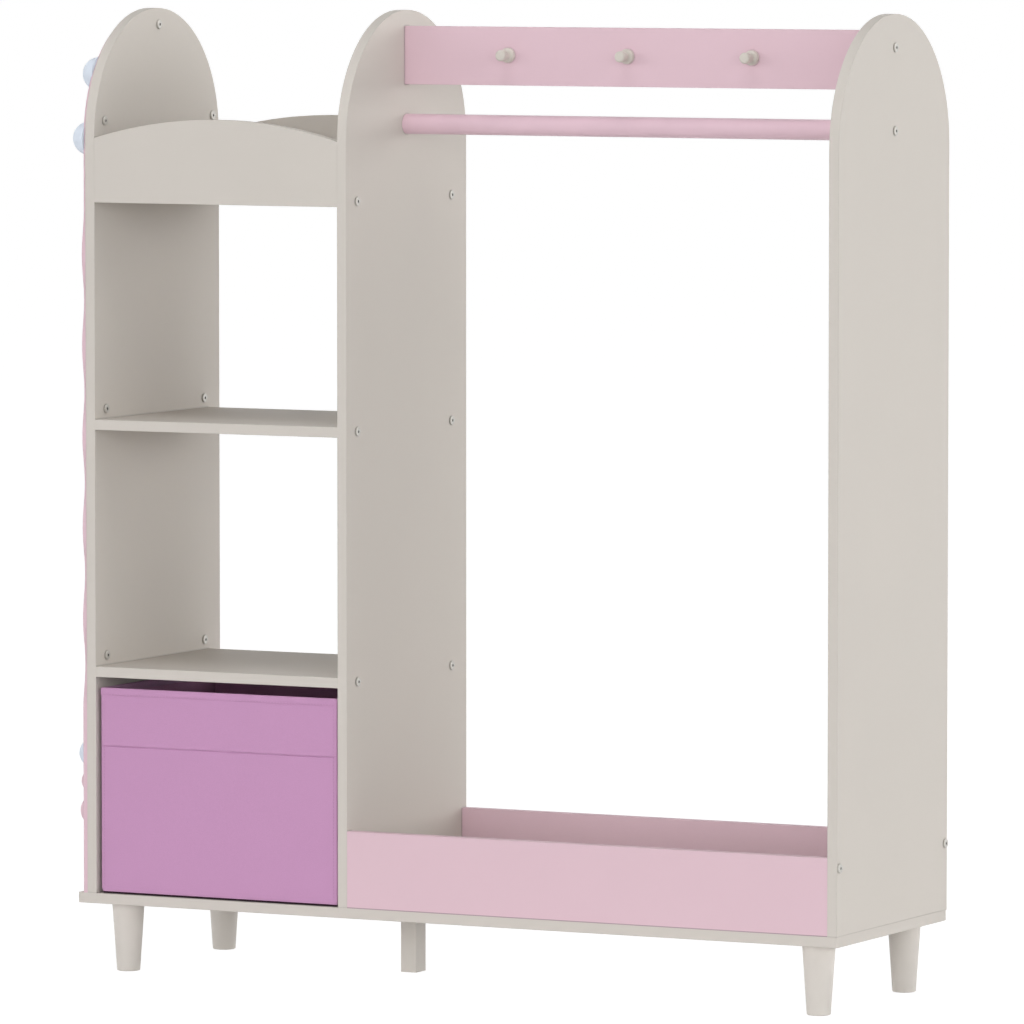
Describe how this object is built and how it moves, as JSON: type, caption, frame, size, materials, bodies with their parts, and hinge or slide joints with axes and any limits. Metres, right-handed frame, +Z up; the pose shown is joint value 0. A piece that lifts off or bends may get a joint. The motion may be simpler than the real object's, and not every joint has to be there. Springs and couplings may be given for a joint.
{
  "type": "children's dress up storage unit with mirror",
  "caption": "Open wooden dress-up unit: shelves with a fabric bin on the left, clothes pole and peg rail on the right, arched mirror on the side, turned legs.",
  "frame": {"origin": "on the floor, at the centre of the bounding box seen from above", "axes": "+X to the viewer's right as seen from the front, +Y to the back, +Z up"},
  "size_m": [0.993, 0.3, 1.125],
  "materials": {
    "cream_board": "satin",
    "pink_board": "satin",
    "cream_wood": "satin",
    "pink_pole": "satin",
    "steel": "satin",
    "insert_brass": "satin",
    "beech": "matte",
    "mirror": "polished",
    "blue_plastic": "gloss",
    "pink_plastic": "gloss",
    "lilac_fabric": "matte",
    "dark_fabric": "matte"
  },
  "bodies": {
    "frame": {"base_board": "cream_board", "left_side_panel": "cream_board", "middle_panel": "cream_board", "right_side_panel": "cream_board", "lower_shelf": "cream_board", "upper_shelf": "cream_board", "tray_shelf": "cream_board", "tray_front_board": "cream_board", "tray_back_board": "cream_board", "peg_rail": "pink_board", "peg_left": "cream_wood", "peg_middle": "cream_wood", "peg_right": "cream_wood", "clothes_pole": "pink_pole", "low_front_board": "pink_board", "low_back_board": "pink_board", "leg_front_left": "cream_wood", "leg_front_right": "cream_wood", "leg_back_left": "cream_wood", "leg_back_right": "cream_wood", "centre_leg": "cream_wood", "leg_studs": "steel", "leg_inserts": "insert_brass", "mirror_frame": "pink_board", "mirror_sheet": "mirror", "arch_domes": "blue_plastic", "low_blue_domes": "blue_plastic", "small_pink_domes": "pink_plastic", "large_pink_domes": "pink_plastic", "left_shelf_screws": "steel", "middle_shelf_screws": "steel", "mirror_frame_screws": "steel", "rail_screws": "steel", "pole_screws": "steel", "low_board_screws": "steel", "base_screws": "steel", "peg_screws": "steel", "tray_board_dowels": "beech", "rail_dowels": "beech", "low_board_dowels": "beech"},
    "storage_bin": {"bin_front": "lilac_fabric", "bin_back": "lilac_fabric", "bin_left_side": "lilac_fabric", "bin_right_side": "lilac_fabric", "bin_floor": "dark_fabric", "bin_hem": "lilac_fabric"}
  },
  "joints": [
    {"name": "bin_slide", "type": "slide", "parent": "frame", "child": "storage_bin", "axis": [0, -1, 0], "range_m": [0, 0.26]}
  ]
}
